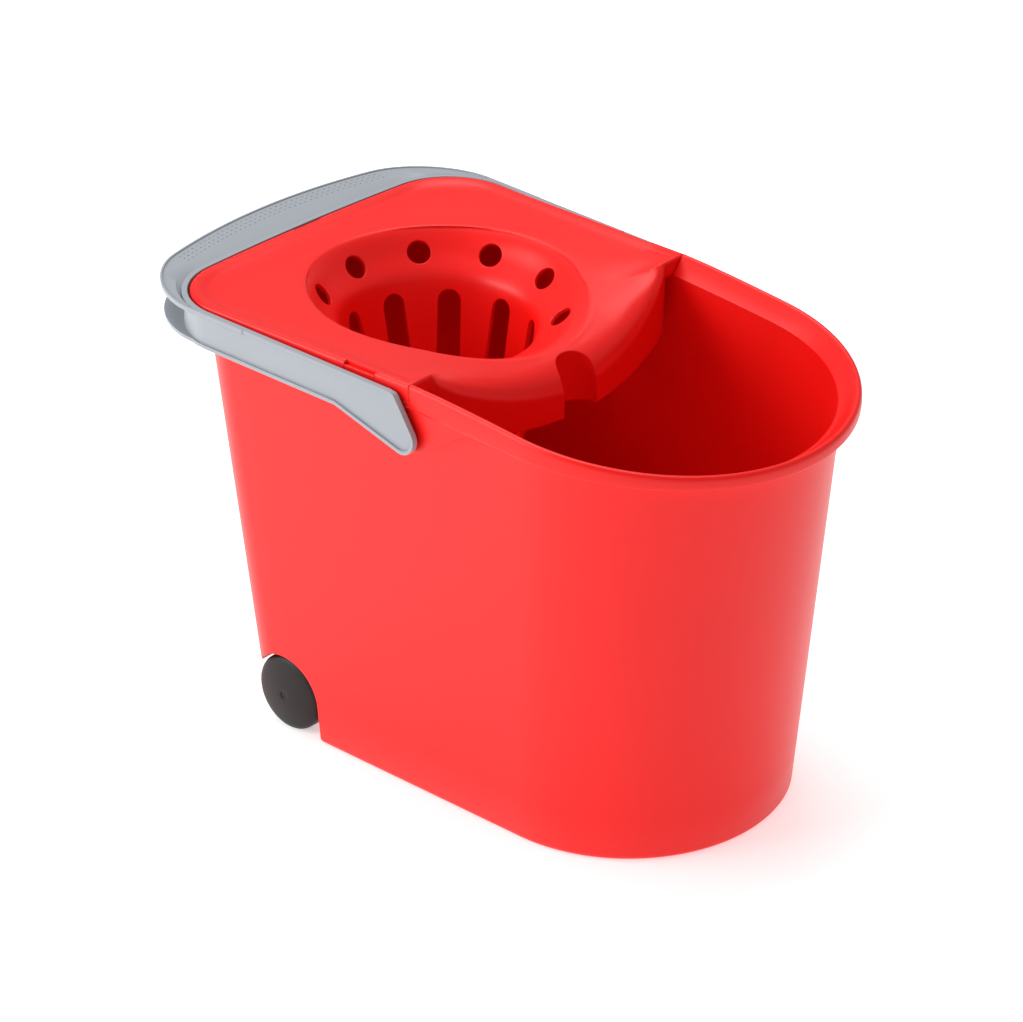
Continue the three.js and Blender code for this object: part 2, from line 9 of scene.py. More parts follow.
import bmesh
import bpy
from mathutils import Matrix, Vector


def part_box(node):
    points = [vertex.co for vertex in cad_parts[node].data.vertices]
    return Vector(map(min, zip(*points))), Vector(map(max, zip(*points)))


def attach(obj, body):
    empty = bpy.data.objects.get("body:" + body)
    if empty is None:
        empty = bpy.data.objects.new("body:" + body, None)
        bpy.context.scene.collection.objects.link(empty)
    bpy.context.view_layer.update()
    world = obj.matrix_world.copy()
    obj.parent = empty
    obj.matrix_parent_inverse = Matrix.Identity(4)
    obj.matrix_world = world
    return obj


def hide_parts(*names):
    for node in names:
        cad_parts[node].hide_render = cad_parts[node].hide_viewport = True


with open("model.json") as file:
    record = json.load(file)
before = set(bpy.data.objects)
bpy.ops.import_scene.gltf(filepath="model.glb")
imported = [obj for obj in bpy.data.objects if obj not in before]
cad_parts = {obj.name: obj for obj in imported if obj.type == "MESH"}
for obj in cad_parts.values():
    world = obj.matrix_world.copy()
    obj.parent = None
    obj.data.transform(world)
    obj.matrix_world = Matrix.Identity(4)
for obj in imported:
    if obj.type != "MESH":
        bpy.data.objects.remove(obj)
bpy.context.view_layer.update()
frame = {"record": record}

MM = 0.001


def box_mm(node):
    low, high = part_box(node)
    return low / MM, high / MM


BODY_LOW, BODY_HIGH = box_mm("bucket_body")
_, WRINGER_HIGH = box_mm("wringer")
_, HANDLE_HIGH = box_mm("handle")
WHEEL_LOW, WHEEL_HIGH = box_mm("left_wheel")
_, AXLE_HIGH = box_mm("axle")
JOINTS = {joint["name"]: joint for joint in frame["record"]["behaviour"]["joints"]}
PIVOT = [value / MM for value in JOINTS["handle_swing"]["pos_m"]]

# ---- Driving dimensions ------------------------------------------------------------
HEIGHT = WRINGER_HIGH.z
WALL = 2.6
LIP_OVERHANG = 8.5
LIP_HEIGHT = 14.0
LIP_NOSE_HEIGHT = 8.0
LIP_TAPER_FROM_X = 60.0
LIP_TAPER_TO_X = 190.0
NOSE_FLARE = 2.0
NOSE_DIP = 19.5
SPLIT_X = 20.7
DECK_EDGE = 10.0
TOUCH_GAP = 0.3
SEAT_Z = HEIGHT - DECK_EDGE + TOUCH_GAP
LEDGE_WIDTH = 12.5
SKIRT = 4.0

RIM = dict(rear=BODY_LOW.x + 5, bow=5, corner=38, half_rear=BODY_HIGH.y,
           nose=94.3, half_nose=115.3, front=BODY_HIGH.x)
BASE = dict(rear=-131, bow=3, corner=28, half_rear=99, nose=81, half_nose=96.5, front=176)
GRIP = dict(rear=PIVOT[0] - 205.9, bow=23, corner=44, half_rear=HANDLE_HIGH.y,
            nose=94.3, half_nose=120.9, front=221.3)

# Cutters and limits that run right through the object end this far out.
PAST_X = 260.0
PAST_Y = 140.0
PAST_HANDLE_Y = 160.0

WHEEL_X = (WHEEL_LOW.x + WHEEL_HIGH.x) / 2
WHEEL_Z = (WHEEL_LOW.z + WHEEL_HIGH.z) / 2
WHEEL_RADIUS = (WHEEL_HIGH.z - WHEEL_LOW.z) / 2
WELL_RADIUS = 26.2
WELL_TOP = 37.7
WELL_FRONT_X = -72.0
SADDLE_Y = 79.0
SADDLE_HALF_LENGTH = 9.0
SADDLE_HALF_THICKNESS = 2.5
SADDLE_BOTTOM = 14.0
SADDLE_TOP = 52.0
SADDLE_MOUTH_HALF = 2.6
AXLE_RADIUS = 3.0

PIN_RADIUS = 4.0
SOCKET_RADIUS = 4.5
SOCKET_END_Y = 105.8
PIN_END_Y = 106.2
PIN_ROOT_Y = 120.0
ARM_TOP = PIVOT[2] + 26.0
ARM_BOTTOM = PIVOT[2] + 3.9
ARM_TIP_RADIUS = 9.2
ARM_KINK_X = -30.0
ARM_GAP = 1.8
HANDLE_WEB = 2.2
HANDLE_FLANGE = 2.2
ARM_DEPTH = 3.4
PLATE_FRONT_X = -100.0
HANDLE_LEAN = math.radians(1.2)
GRIP_SLOPE_SHARE = 0.42
GRIP_SLOPE_DROP = 5.0
GRIP_RECESS = 0.55
GRIP_EDGE = 1.5

APRON_HALF = 98.0
APRON_FRONT_X = 43.0
APRON_SIDE_Z = 231.0
APRON_DROP = 9.0
SAG_DEPTH = 16.0
SAG_REAR_X = -110.0
SAG_FRONT_X = 26.0
DECK_SKIN = 2.6
NOTCH_X = 41.5
NOTCH_RADIUS = 13.5
NOTCH_WALL = 2.5
HOLE_COUNT = 10
HOLE_RADIUS = 7.1
HOLE_TILT = math.radians(45)
SLOT_RADIUS = 6.8
SLOT_TOP = 237.4
SLOT_BOTTOM = 168.0
DRAIN_RADIUS = 4.0
DRAIN_SPREAD_X = 24.0
DRAIN_SPREAD_Y = 18.0
TAB_X = -15.6
TAB_LENGTH = 22.0
TAB_DEPTH = 2.2
TAB_HEIGHT = 7.6
TAB_CLEARANCE = 0.4

# Inside of the basket from the deck down: height, centre, half length, half width, sag share.
BASKET = [
    (269.5, -60, 84.5, 82.5, 1), (268.2, -60.5, 81, 79, 1), (264.2, -62, 76, 74.5, 0.97),
    (256.6, -64, 68.8, 68.3, 0.92), (249.3, -65.3, 61.2, 60.8, 0.8), (246, -66, 58.5, 58, 0.7),
    (242.4, -66.5, 56.9, 56.4, 0.6), (237.4, -66.7, 55.8, 55.3, 0.5), (158, -60.5, 41, 40.5, 0),
    (154, -60, 37, 36.5, 0),
]
HOLE_RING = BASKET[3]
SLOT_RING = BASKET[7]


def mix(low, high, share):
    return low + (high - low) * share


def clamp(value):
    return max(0.0, min(1.0, value))


# ---- Mesh helpers --------------------------------------------------------------------
def make_object(name, vertices, faces):
    mesh = bpy.data.meshes.new(name)
    mesh.from_pydata([tuple(c * MM for c in v) for v in vertices], [], faces)
    mesh.update()
    item = bpy.data.objects.new(name, mesh)
    bpy.context.scene.collection.objects.link(item)
    return item


def loft(name, rings):
    """A closed body through rings of equal point count, from the underside upward."""
    count = len(rings[0])
    vertices = [point for ring in rings for point in ring]
    faces = []
    for level in range(len(rings) - 1):
        low = level * count
        high = low + count
        for i in range(count):
            j = (i + 1) % count
            faces.append((low + i, low + j, high + j, high + i))
    faces.extend(fan(vertices, rings[0], 0, True))
    faces.extend(fan(vertices, rings[-1], (len(rings) - 1) * count, False))
    return make_object(name, vertices, faces)


def fan(vertices, ring, offset, reverse):
    count = len(ring)
    centre = tuple(sum(point[axis] for point in ring) / count for axis in range(3))
    middle = len(vertices)
    vertices.append(centre)
    faces = []
    for i in range(count):
        j = (i + 1) % count
        edge = (offset + j, offset + i) if reverse else (offset + i, offset + j)
        faces.append((middle,) + edge)
    return faces


def prism(name, outline_points, bottom, top):
    count = len(outline_points)
    vertices = [(x, y, z) for z in (bottom, top) for x, y in outline_points]
    faces = [(i, (i + 1) % count, count + (i + 1) % count, count + i) for i in range(count)]
    faces.append(tuple(reversed(range(count))))
    faces.append(tuple(range(count, 2 * count)))
    return make_object(name, vertices, faces)


def side_profile(name, points, from_y, to_y):
    """A shape in side view (x, z), anticlockwise, taken across the bucket."""
    count = len(points)
    vertices = [(x, from_y, z) for x, z in points] + [(x, to_y, z) for x, z in points]
    faces = [(i, (i + 1) % count, count + (i + 1) % count, count + i) for i in range(count)]
    faces.append(tuple(reversed(range(count))))
    faces.append(tuple(range(count, 2 * count)))
    flipped = [tuple(reversed(face)) for face in faces] if signed_area(points) > 0 else faces
    item = make_object(name, vertices, flipped)
    fix_normals(item)
    return item


def signed_area(points):
    total = 0.0
    for (x0, z0), (x1, z1) in zip(points, points[1:] + points[:1]):
        total += x0 * z1 - x1 * z0
    return total / 2


def fix_normals(item):
    work = bmesh.new()
    work.from_mesh(item.data)
    bmesh.ops.recalc_face_normals(work, faces=work.faces)
    work.to_mesh(item.data)
    work.free()


def slab(name, x0, x1, y0, y1, z0, z1):
    return prism(name, [(x0, y0), (x1, y0), (x1, y1), (x0, y1)], z0, z1)


def cross_rod(name, radius, x, z, from_y, to_y, segments=48):
    points = [(x + radius * math.cos(2 * math.pi * i / segments),
               z + radius * math.sin(2 * math.pi * i / segments)) for i in range(segments)]
    return side_profile(name, points, from_y, to_y)


def upright_rod(name, radius, x, y, bottom, top, segments=64):
    points = [(x + radius * math.cos(2 * math.pi * i / segments),
               y + radius * math.sin(2 * math.pi * i / segments)) for i in range(segments)]
    return prism(name, points, bottom, top)


def turned(name, profile, centre, side, segments=96):
    """A profile of (radius, distance outward) turned about a line along Y."""
    vertices = []
    rows = []
    for radius, along in profile:
        if radius == 0:
            rows.append([len(vertices)] * segments)
            vertices.append((centre[0], centre[1] + side * along, centre[2]))
            continue
        row = []
        for i in range(segments):
            angle = 2 * math.pi * i / segments
            row.append(len(vertices))
            vertices.append((centre[0] + radius * math.cos(angle), centre[1] + side * along,
                             centre[2] + radius * math.sin(angle)))
        rows.append(row)
    faces = []
    for low, high in zip(rows, rows[1:]):
        for i in range(segments):
            j = (i + 1) % segments
            face = []
            for index in (low[i], low[j], high[j], high[i]):
                if index not in face:
                    face.append(index)
            if len(face) > 2:
                faces.append(tuple(face))
    item = make_object(name, vertices, faces)
    fix_normals(item)
    return item


def combine(target, tool, operation):
    modifier = target.modifiers.new("combine", "BOOLEAN")
    modifier.operation = operation
    modifier.solver = "MANIFOLD"
    modifier.object = tool
    bpy.context.view_layer.update()
    graph = bpy.context.evaluated_depsgraph_get()
    mesh = bpy.data.meshes.new_from_object(target.evaluated_get(graph))
    target.modifiers.clear()
    old = target.data
    target.data = mesh
    bpy.data.meshes.remove(old)
    bpy.data.objects.remove(tool, do_unlink=True)
    return target


def cut(target, tool):
    return combine(target, tool, "DIFFERENCE")


def join(target, tool):
    return combine(target, tool, "UNION")


def keep(target, tool):
    return combine(target, tool, "INTERSECT")


def smooth(item, degrees=32):
    """Smooth shading that stays crisp where faces meet at more than the given angle."""
    mesh = item.data
    mesh.polygons.foreach_set("use_smooth", [True] * len(mesh.polygons))
    mesh.set_sharp_from_angle(angle=math.radians(degrees))
    return item


# ---- Plan outlines -------------------------------------------------------------------
NOSE_STEPS = 44
SIDE_STEPS = 12
CORNER_STEPS = 14
REAR_STEPS = 8


def half_outline(plan, inset):
    points = []
    for i in range(NOSE_STEPS + 1):
        angle = math.pi / 2 * i / NOSE_STEPS
        points.append([plan["nose"] + (plan["front"] - plan["nose"] - inset) * math.cos(angle),
                       (plan["half_nose"] - inset) * math.sin(angle)])
    corner_x = plan["rear"] + plan["corner"]
    for i in range(1, SIDE_STEPS):
        along = i / SIDE_STEPS
        points.append([mix(plan["nose"], corner_x, along),
                       mix(plan["half_nose"], plan["half_rear"], along) - inset])
    corner_y = plan["half_rear"] - plan["corner"]
    radius = plan["corner"] - inset
    for i in range(CORNER_STEPS + 1):
        angle = math.pi / 2 * (1 + i / CORNER_STEPS)
        points.append([corner_x + radius * math.cos(angle), corner_y + radius * math.sin(angle)])
    for i in range(1, REAR_STEPS + 1):
        points.append([plan["rear"] + inset, corner_y * (1 - i / REAR_STEPS)])
    for point in points:
        past = min(1.0, abs(point[1]) / plan["half_rear"])
        if point[0] < corner_x:
            point[0] -= plan["bow"] * (1 - past ** 2)
    return points


def outline(plan, inset):
    half = half_outline(plan, inset)
    mirrored = [[x, -y] for x, y in reversed(half[1:-1])]
    return half + mirrored


def blend_plans(low, high, share):
    return {key: mix(low[key], high[key], share) for key in low}


def wall_plan(z):
    top = dict(RIM)
    top["rear"] += LIP_OVERHANG
    top["corner"] -= LIP_OVERHANG
    top["half_rear"] -= LIP_OVERHANG
    top["half_nose"] -= LIP_OVERHANG
    top["front"] -= LIP_OVERHANG + NOSE_FLARE
    return blend_plans(BASE, top, z / HEIGHT)


def sunk(x, z):
    """The rim sinks gently from the wringer's front edge to the tip of the nose."""
    along = clamp((x - SPLIT_X) / (RIM["front"] - SPLIT_X))
    dip = NOSE_DIP * along ** 1.3
    return z * (1 - dip / HEIGHT)


def ring(plan, inset, z):
    return [(x, y, sunk(x, z)) for x, y in outline(plan, inset)]


def lip_ring(plan, inset, rise):
    """A ring a little above the lip's lower edge. The lip grows shallower toward the nose."""
    points = []
    for x, y in outline(plan, inset):
        along = clamp((x - LIP_TAPER_FROM_X) / (LIP_TAPER_TO_X - LIP_TAPER_FROM_X))
        points.append((x, y, sunk(x, HEIGHT - mix(LIP_HEIGHT, LIP_NOSE_HEIGHT, along) + rise)))
    return points


# ---- Bucket --------------------------------------------------------------------------
def bucket_outside():
    foot = [(5.0, 0.0), (3.6, 0.15), (2.4, 0.55), (1.5, 1.2), (0.8, 2.1)]
    rings = [ring(BASE, inset, z) for inset, z in foot]
    rings += [ring(wall_plan(z), 0, z) for z in (4, 30, 60, 100, 140, 180, 220, 250)]
    lip_plan = wall_plan(HEIGHT - LIP_HEIGHT)
    root = [(0, -1.8), (-0.25, -0.8), (-0.8, -0.2), (-1.8, 0)]
    rings += [lip_ring(lip_plan, inset, rise) for inset, rise in root]
    under = [(1.2, 0.0), (0.5, 0.2), (0.12, 0.7), (0.0, 1.5)]
    rings += [lip_ring(RIM, inset, rise) for inset, rise in under]
    crest = [(0.0, 3.0), (0.12, 2.0), (0.4, 1.1), (0.8, 0.5), (1.3, 0.15), (1.9, 0.0)]
    rings += [ring(RIM, inset, HEIGHT - drop) for inset, drop in crest]
    return loft("bucket_body_detailed", rings)


def bucket_inside():
    floor = [(14, WALL), (9.5, WALL + 0.3), (6.8, WALL + 1.2), (4.8, WALL + 2.7)]
    rings = [ring(BASE, inset, z) for inset, z in floor]
    heights = (8, 30, 60, 100, 140, 180, 220, 250, HEIGHT - 14)
    rings += [ring(wall_plan(z), WALL, z) for z in heights]
    rings += [ring(wall_plan(HEIGHT - 10), WALL, HEIGHT - 10)]
    crest = [(9.4, -7.2), (7.6, -5.0), (6.0, -3.3), (4.8, -1.9), (3.8, -0.9), (3.1, -0.3),
             (2.6, -0.03), (2.3, 1), (2.3, 20)]
    rings += [ring(RIM, inset, HEIGHT + z) for inset, z in crest]
    return loft("hollow", rings)


def well_outline(growth):
    radius = WELL_RADIUS + growth
    end = math.pi - math.asin((WELL_TOP + growth - WHEEL_Z) / radius)
    points = [(-PAST_X, -20), (WELL_FRONT_X + growth, -20), (WELL_FRONT_X + growth, 0)]
    steps = 40
    for i in range(steps + 1):
        angle = end * i / steps
        points.append((WHEEL_X + radius * math.cos(angle), WHEEL_Z + radius * math.sin(angle)))
    points.append((-PAST_X, WELL_TOP + growth))
    return points


def pivot_pads():
    side = [(-PAST_X, 263), (-PAST_X, 254), (-11.5, 254), (-9.2, 253.1), (6.5, 237.5), (9, 235.2),
            (12, 234), (26, 234.5), (29, 235.8), (60, 255), (63, 256.8), (66, 258), (66, 262)]
    pads = side_profile("pads", side, -PAST_Y, PAST_Y)
    return keep(pads, prism("pad_limit", outline(RIM, 0.7), 200, HEIGHT))


def axle_saddle(side):
    y = side * SADDLE_Y
    near, far = y - SADDLE_HALF_THICKNESS, y + SADDLE_HALF_THICKNESS
    plate = slab("saddle", WHEEL_X - SADDLE_HALF_LENGTH, WHEEL_X + SADDLE_HALF_LENGTH,
                 near, far, SADDLE_BOTTOM, SADDLE_TOP)
    cut(plate, cross_rod("bore", AXLE_RADIUS + TOUCH_GAP, WHEEL_X, WHEEL_Z, near - 2.5, far + 2.5))
    return cut(plate, slab("mouth", WHEEL_X - SADDLE_MOUTH_HALF, WHEEL_X + SADDLE_MOUTH_HALF,
                           near - 2.5, far + 2.5, 0, WHEEL_Z))


def rim_tab(clearance, height):
    half = TAB_LENGTH / 2 + clearance
    reach = TAB_DEPTH + clearance
    bottom = HEIGHT - DECK_EDGE - 1
    top = bottom + 1 + height
    outer = prism("tab", outline(RIM, 0), bottom, top)
    spans = slab("tab_sides", TAB_X - half, TAB_X + half, -PAST_Y, PAST_Y, bottom, top)
    rear = slab("tab_rear", RIM["rear"] - 10, RIM["rear"] + 10, -half, half, bottom, top)
    join(spans, rear)
    keep(outer, spans)
    return cut(outer, prism("tab_core", outline(RIM, reach), bottom - 1, top + 2))


def cross_pins(name, radius, end_y, root_y):
    rod = cross_rod(name, radius, PIVOT[0], PIVOT[2], -root_y, root_y)
    return cut(rod, cross_rod("middle", radius + 1, PIVOT[0], PIVOT[2], -end_y, end_y))


def bucket_body():
    body = join(bucket_outside(), pivot_pads())
    hollow = cut(bucket_inside(), side_profile("step", well_outline(WALL), -PAST_Y, PAST_Y))
    cut(body, hollow)
    cut(body, side_profile("well", well_outline(0), -PAST_Y, PAST_Y))
    for side in (1, -1):
        join(body, axle_saddle(side))
    cut(body, slab("ledge", RIM["rear"] - 20, SPLIT_X, -PAST_Y, PAST_Y,
                   HEIGHT - DECK_EDGE, HEIGHT + 10))
    join(body, rim_tab(0, TAB_HEIGHT))
    cut(body, cross_pins("sockets", SOCKET_RADIUS, SOCKET_END_Y, PAST_Y))
    return smooth(body)


# ---- Wringer -------------------------------------------------------------------------
def deck_outline():
    """Points (x, y, on the apron) round the deck, anticlockwise from the apron's -Y end."""
    points = []
    steps = 72
    for i in range(steps + 1):
        y = mix(-APRON_HALF, APRON_HALF, i / steps)
        bulge = (APRON_FRONT_X - SPLIT_X) * max(0.0, math.cos(math.pi / 2 * y / APRON_HALF)) ** 0.8
        points.append((SPLIT_X - TOUCH_GAP + bulge, y, True))
    edge_x = SPLIT_X - TOUCH_GAP
    corner_x = RIM["rear"] + RIM["corner"]
    along = (SPLIT_X - RIM["nose"]) / (corner_x - RIM["nose"])
    rim_half = mix(RIM["half_nose"], RIM["half_rear"], along)
    left = [(edge_x, APRON_HALF + 1, False), (edge_x, rim_half, False)]
    upper = [(x, y, False) for x, y in outline(RIM, 0) if x < SPLIT_X - 4 and y >= 0]
    lower = [(x, -y, False) for x, y, _ in reversed(upper[:-1])]
    right = [(x, -y, False) for x, y, _ in reversed(left)]
    return points + left + upper + lower + right


def apron_roll(y):
    """The apron's rolled top edge is full in the middle and fades out at the rim."""
    return math.sqrt(max(0.0, math.cos(math.pi / 2 * y / APRON_HALF)))


def deck_sag(x, y):
    along = clamp((x - SAG_REAR_X) / (SAG_FRONT_X - SAG_REAR_X))
    across = max(0.0, math.cos(math.pi / 2 * min(1, abs(y) / APRON_HALF))) ** 0.8
    return SAG_DEPTH * along ** 2 * across


def basket_point(level, direction, growth):
    z, centre, rx, ry, sag = level
    x = centre + (rx + growth) * math.cos(direction)
    y = (ry + growth) * math.sin(direction)
    return x, y, z - sag * deck_sag(x, y)


def deck_ring(edge, directions, inset, share, side_z, apron_z, sag_share):
    points = []
    for (x, y, apron), direction in zip(edge, directions):
        target = basket_point(BASKET[0], direction, 0)
        gap = Vector((target[0] - x, target[1] - y))
        travel = min(inset, gap.length * share)
        place = Vector((x, y)) + gap.normalized() * travel
        z = apron_z(y) if apron else side_z
        points.append((place.x, place.y, z - sag_share * deck_sag(place.x, place.y)))
    return points


def spline_rings(rings, steps):
    """Catmull-Rom rings between the given ones, so that the surface has no hard bands."""
    result = []
    for k in range(len(rings) - 1):
        before = rings[max(0, k - 1)]
        start, end = rings[k], rings[k + 1]
        after = rings[min(len(rings) - 1, k + 2)]
        for step in range(steps):
            t = step / steps
            result.append([catmull(a, b, c, d, t) for a, b, c, d in zip(before, start, end, after)])
    result.append(rings[-1])
    return result


def catmull(p0, p1, p2, p3, t):
    point = []
    for a, b, c, d in zip(p0, p1, p2, p3):
        square = 2 * a - 5 * b + 4 * c - d
        cube = 3 * b - a - 3 * c + d
        point.append(0.5 * (2 * b + (c - a) * t + square * t ** 2 + cube * t ** 3))
    return tuple(point)


def wringer_shell():
    edge = deck_outline()
    mouth = BASKET[0]
    directions = [math.atan2(y / mouth[3], (x - mouth[1]) / mouth[2]) for x, y, _ in edge]

    def ring_at(inset, share, side_z, front_z, sag_share=1):
        def front_edge_z(y):
            return mix(side_z, front_z, apron_roll(y))
        return deck_ring(edge, directions, inset, share, side_z, front_edge_z, sag_share)

    def apron_foot(inset, share):
        def foot_z(y):
            return APRON_SIDE_Z - APRON_DROP * math.cos(math.pi / 2 * y / APRON_HALF)
        return deck_ring(edge, directions, inset, share, SEAT_Z, foot_z, 0)

    def basket_ring(level, growth, drop):
        shifted = (level[0] - drop,) + tuple(level[1:])
        return [basket_point(shifted, direction, growth) for direction in directions]

    underside = [basket_ring(BASKET[-1], DECK_SKIN, DECK_SKIN)]
    underside += [basket_ring(level, DECK_SKIN, 0.8) for level in reversed(BASKET[1:-1])]
    underside += [basket_ring(BASKET[0], DECK_SKIN, DECK_SKIN)]
    underside += [
        ring_at(14, 0.72, HEIGHT - 5.8, HEIGHT - 8),
        ring_at(11, 0.55, HEIGHT - 5.4, HEIGHT - 10),
        ring_at(6, 0.34, HEIGHT - 4.6, HEIGHT - 15),
        ring_at(SKIRT, 0.24, HEIGHT - 5, HEIGHT - 24),
        apron_foot(SKIRT, 0.24),
        apron_foot(0.3, 0.02),
        apron_foot(0, 0),
    ]
    face = [
        ring_at(0, 0, HEIGHT - 2.2, HEIGHT - 21.4),
        ring_at(0.3, 0.03, HEIGHT - 1.3, HEIGHT - 19.4),
        ring_at(1.2, 0.12, HEIGHT - 0.5, HEIGHT - 17),
        ring_at(3.5, 0.3, HEIGHT, HEIGHT - 11.4),
        ring_at(7, 0.48, HEIGHT - 0.8, HEIGHT - 7.4),
        ring_at(12, 0.66, HEIGHT - 2.2, HEIGHT - 4.6),
        ring_at(24, 0.84, HEIGHT - 3.2, HEIGHT - 3.6),
    ]
    face += [basket_ring(level, 0, 0) for level in BASKET[:6]]
    lower = [basket_ring(level, 0, 0) for level in BASKET[6:]]
    return loft("wringer_detailed", underside + spline_rings(face, 4) + lower)


def radial(item, section, direction, z):
    """Turns a cutter that lies along +X to a direction about the basket's axis."""
    turn = math.atan2(section[3] * math.sin(direction), section[2] * math.cos(direction))
    for vertex in item.data.vertices:
        x, y, height = vertex.co / MM
        vertex.co = Vector((
            section[1] + x * math.cos(turn) - y * math.sin(turn),
            x * math.sin(turn) + y * math.cos(turn), height + z)) * MM
    return item


def tilted(item, angle, reach):
    """Tips a cutter that lies along +X nose down and moves it out from the axis."""
    for vertex in item.data.vertices:
        x, y, z = vertex.co / MM
        vertex.co = Vector((
            x * math.cos(angle) + z * math.sin(angle) + reach, y,
            z * math.cos(angle) - x * math.sin(angle))) * MM
    return item


def along_x(name, points, from_x, to_x):
    """A shape in (y, z) taken along X."""
    count = len(points)
    vertices = [(from_x, y, z) for y, z in points] + [(to_x, y, z) for y, z in points]
    faces = [(i, (i + 1) % count, count + (i + 1) % count, count + i) for i in range(count)]
    faces.append(tuple(reversed(range(count))))
    faces.append(tuple(range(count, 2 * count)))
    item = make_object(name, vertices, faces)
    fix_normals(item)
    return item


def round_hole(direction):
    steps = 40
    points = [(HOLE_RADIUS * math.cos(2 * math.pi * i / steps),
               HOLE_RADIUS * math.sin(2 * math.pi * i / steps)) for i in range(steps)]
    z = basket_point(HOLE_RING, direction, 0)[2]
    drill = tilted(along_x("hole", points, -12, 12), HOLE_TILT, HOLE_RING[2])
    return radial(drill, HOLE_RING, direction, z)


def slot_cut(direction):
    straight = SLOT_TOP - SLOT_BOTTOM - 2 * SLOT_RADIUS
    steps = 20
    points = []
    for i in range(steps + 1):
        angle = math.pi * i / steps
        points.append((SLOT_RADIUS * math.cos(angle), straight + SLOT_RADIUS * math.sin(angle)))
    for i in range(steps + 1):
        angle = math.pi * (1 + i / steps)
        points.append((SLOT_RADIUS * math.cos(angle), SLOT_RADIUS * math.sin(angle)))
    return radial(along_x("slot", points, 24, 84), SLOT_RING, direction, SLOT_BOTTOM + SLOT_RADIUS)


def notch_wall():
    foot = APRON_SIDE_Z - APRON_DROP
    front = APRON_FRONT_X - 1
    top = HEIGHT - SAG_DEPTH
    under_roll = [(20, foot), (front, foot), (front, top - 24), (front - 2, top - 17),
                  (front - 5, top - 12), (front - 10, top - 8), (front - 15, top - 5),
                  (20, top - 5)]
    wall = upright_rod("notch_wall", NOTCH_RADIUS + NOTCH_WALL, NOTCH_X, 0, foot, HEIGHT)
    return keep(wall, side_profile("under_roll", under_roll, -40, 40))


def wringer():
    shell = wringer_shell()
    join(shell, notch_wall())
    band = prism("seat_band", outline(RIM, -1), SEAT_Z - LIP_HEIGHT, SEAT_Z)
    cut(band, prism("seat_core", outline(RIM, LEDGE_WIDTH), SEAT_Z - LIP_HEIGHT - 1, SEAT_Z + 1))
    cut(shell, keep(band, slab("rear", -PAST_X, SPLIT_X, -PAST_Y, PAST_Y, 0, HEIGHT)))
    cut(shell, upright_rod("notch", NOTCH_RADIUS, NOTCH_X, 0, 200, HEIGHT + 10))
    pitch = 2 * math.pi / HOLE_COUNT
    for i in range(HOLE_COUNT):
        if i > 0:
            cut(shell, round_hole(i * pitch))
        cut(shell, slot_cut((i + 0.5) * pitch))
    floor_x = BASKET[-1][1]
    drains = [(floor_x, 0)]
    for i in range(6):
        angle = i * math.pi / 3
        drains.append((floor_x + DRAIN_SPREAD_X * math.cos(angle),
                       DRAIN_SPREAD_Y * math.sin(angle)))
    for x, y in drains:
        cut(shell, upright_rod("drain", DRAIN_RADIUS, x, y, 140, 170, 32))
    cut(shell, rim_tab(TAB_CLEARANCE, 20))
    return smooth(shell)


# ---- Handle --------------------------------------------------------------------------
def handle_side(inset):
    top = ARM_TOP - inset
    bottom = ARM_BOTTOM + inset
    points = [(-PAST_X, bottom), (ARM_KINK_X - inset * 0.2, bottom)]
    steps = 28
    for i in range(steps + 1):
        angle = math.radians(-105 + 138 * i / steps)
        radius = ARM_TIP_RADIUS - inset
        points.append((PIVOT[0] + radius * math.cos(angle), PIVOT[2] + radius * math.sin(angle)))
    points += [(14.3 - inset, ARM_TOP - 1.6 - inset * 0.8),
               (12.9 - inset * 0.8, ARM_TOP - 0.5 - inset),
               (8.3 - inset * 0.6, top), (-PAST_X, top)]
    return points


def bent_band(name, outer, inner, bottom, top):
    band = cut(prism(name, outer, bottom, top), prism("inner", inner, bottom - 1, top + 1))
    return cut(band, slab("open", 60, PAST_X, -PAST_HANDLE_Y, PAST_HANDLE_Y, bottom - 1, top + 1))


def grip_dots():
    """Rows of small raised dots along the grip's flat top."""
    vertices = []
    faces = []
    for row, inset in enumerate((4.6, 8.0, 11.4)):
        line = outline(GRIP, inset)
        for x, y in spaced(line, 4.2, row * 2.1):
            if x < RIM["rear"] - 12 and abs(y) < 84:
                add_dome(vertices, faces, x, y, ARM_TOP - GRIP_RECESS - 0.1, 0.75, 0.55)
    return lean(make_object("grip_dots", vertices, faces))


def spaced(points, pitch, start):
    travelled = -start
    result = []
    for (x0, y0), (x1, y1) in zip(points, points[1:]):
        length = math.hypot(x1 - x0, y1 - y0)
        while travelled <= length:
            if travelled >= 0:
                share = travelled / length if length else 0
                result.append((mix(x0, x1, share), mix(y0, y1, share)))
            travelled += pitch
        travelled -= length
    return result


def add_dome(vertices, faces, x, y, z, radius, height):
    start = len(vertices)
    sides = 10
    for scale, lift in ((1.0, 0.0), (0.86, 0.55), (0.5, 0.88)):
        for i in range(sides):
            angle = 2 * math.pi * i / sides
            reach = radius * scale
            vertices.append((x + reach * math.cos(angle), y + reach * math.sin(angle),
                             z + height * lift))
    vertices.append((x, y, z + height))
    for level in range(2):
        for i in range(sides):
            j = (i + 1) % sides
            low = start + level * sides
            faces.append((low + i, low + j, low + sides + j, low + sides + i))
    crown = start + 2 * sides
    for i in range(sides):
        faces.append((crown + i, crown + (i + 1) % sides, crown + sides))
    faces.append(tuple(start + i for i in reversed(range(sides))))


